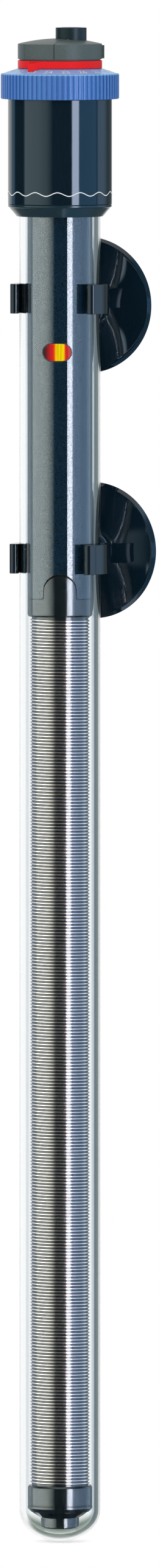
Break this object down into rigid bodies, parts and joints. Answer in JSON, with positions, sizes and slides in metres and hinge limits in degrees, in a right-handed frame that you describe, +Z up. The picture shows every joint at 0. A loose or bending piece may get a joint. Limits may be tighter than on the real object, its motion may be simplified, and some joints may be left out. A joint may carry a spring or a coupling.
{
  "type": "submersible aquarium heater",
  "caption": "Glass tube aquarium heater with a wound heating element, a dial thermostat head and two clips with suction cups that hold it upright on a pane.",
  "frame": {"origin": "centre of the upper suction cup's rim face, on the pane that holds the heater", "axes": "+Y out of the upper cup's rim face into the pane, +Z up the tube towards the cable gland"},
  "size_m": [0.0428, 0.0442, 0.4506],
  "materials": {
    "glass": "clear borosilicate glass, polished",
    "black_rubber": "matt black rubber",
    "collar_plastic": "dark slate moulded plastic, satin",
    "housing_plastic": "glossy navy-black moulded plastic",
    "steel": "bright stamped steel",
    "knob_plastic": "blue moulded plastic, satin gloss",
    "pointer_plastic": "red moulded plastic, satin gloss",
    "cap_plastic": "grey moulded plastic, fine satin",
    "gland_rubber": "dark slate rubber, satin",
    "brass": "turned brass",
    "white_nylon": "natural white nylon",
    "frame_plastic": "tan phenolic moulding",
    "sleeve_plastic": "dark slate moulded sleeve, glossy",
    "lens_red": "clear red moulded lens",
    "neon_glass": "lit neon lamp, orange",
    "component_body": "lacquered component body",
    "capacitor_body": "potted blue case",
    "bimetal": "rolled bimetal strip",
    "wire_insulation": "brown silicone insulation",
    "end_cap_plastic": "dark slate heat-proof moulding",
    "ceramic": "dark grey ceramic, fine grain",
    "heating_wire": "bright drawn resistance wire",
    "clear_silicone": "translucent silicone pad",
    "clip_plastic": "black moulded plastic, glossy",
    "cup_rubber": "black suction rubber, glossy and slightly translucent at its rim"
  },
  "bodies": {
    "heater": {"glass_tube": "glass", "tube_seal": "black_rubber", "collar_ring": "collar_plastic", "control_housing": "housing_plastic", "spindle_seal": "black_rubber", "knob_retainer": "steel", "top_cap": "cap_plastic", "cable_gland": "gland_rubber", "thermostat_frame": "frame_plastic", "thermostat_sleeve": "sleeve_plastic", "window_lens": "lens_red", "neon_lamp": "neon_glass", "lamp_resistor": "component_body", "capacitor": "capacitor_body", "contact_arm": "steel", "snap_magnet": "steel", "lead_terminals": "brass", "supply_leads": "wire_insulation", "element_leads": "heating_wire", "former_upper_cap": "end_cap_plastic", "coil_former": "ceramic", "heating_coil": "heating_wire", "former_lower_cap": "end_cap_plastic", "bottom_support": "clear_silicone"},
    "knob": {"temperature_knob": "knob_plastic"},
    "pointer": {"calibration_ring": "pointer_plastic"},
    "spindle": {"adjusting_spindle": "brass"},
    "carriage": {"set_carriage": "white_nylon"},
    "strip": {"bimetal_strip": "bimetal"},
    "clip_upper": {"upper_clip": "clip_plastic"},
    "cup_upper": {"upper_cup": "cup_rubber"},
    "clip_lower": {"lower_clip": "clip_plastic"},
    "cup_lower": {"lower_cup": "cup_rubber"}
  },
  "joints": [
    {"name": "knob_turn", "type": "hinge", "parent": "heater", "child": "knob", "pos_m": [0, -0.025, 0.0621], "axis": [0, 0, 1], "range_deg": [-224, 96]},
    {"name": "spindle_turn", "type": "hinge", "parent": "heater", "child": "spindle", "pos_m": [-0.00759, -0.02754, 0.0618], "axis": [0, 0, 1], "range_deg": [-672, 288]},
    {"name": "carriage_slide", "type": "slide", "parent": "heater", "child": "carriage", "axis": [0, 0, 1], "range_m": [-0.0004, 0.00093]},
    {"name": "pointer_turn", "type": "hinge", "parent": "heater", "child": "pointer", "pos_m": [0, -0.025, 0.0712], "axis": [0, 0, 1], "range_deg": [-42, 42]},
    {"name": "strip_bend", "type": "hinge", "parent": "heater", "child": "strip", "pos_m": [-0.00125, -0.02125, -0.0207], "axis": [0.9483, 0.3173, 0], "range_deg": [0, 1.5], "stiffness_Nm_per_rad": 0.02},
    {"name": "upper_clip_slide", "type": "slide", "parent": "heater", "child": "clip_upper", "axis": [0, 0, 1], "range_m": [-0.018, 0.018]},
    {"name": "upper_cup_turn", "type": "hinge", "parent": "clip_upper", "child": "cup_upper", "pos_m": [0, 0, 0], "axis": [0, 1, 0], "continuous": true},
    {"name": "lower_clip_slide", "type": "slide", "parent": "heater", "child": "clip_lower", "axis": [0, 0, 1], "range_m": [-0.26, 0.012]},
    {"name": "lower_cup_turn", "type": "hinge", "parent": "clip_lower", "child": "cup_lower", "pos_m": [0.00218, -0.0001, -0.0731], "axis": [0.0872, 0.9962, 0], "continuous": true}
  ],
  "couplings": [
    {"joint": "spindle_turn", "follows": "knob_turn", "ratio": 3},
    {"joint": "carriage_slide", "follows": "knob_turn", "m_per_rad": -0.00023873}
  ]
}
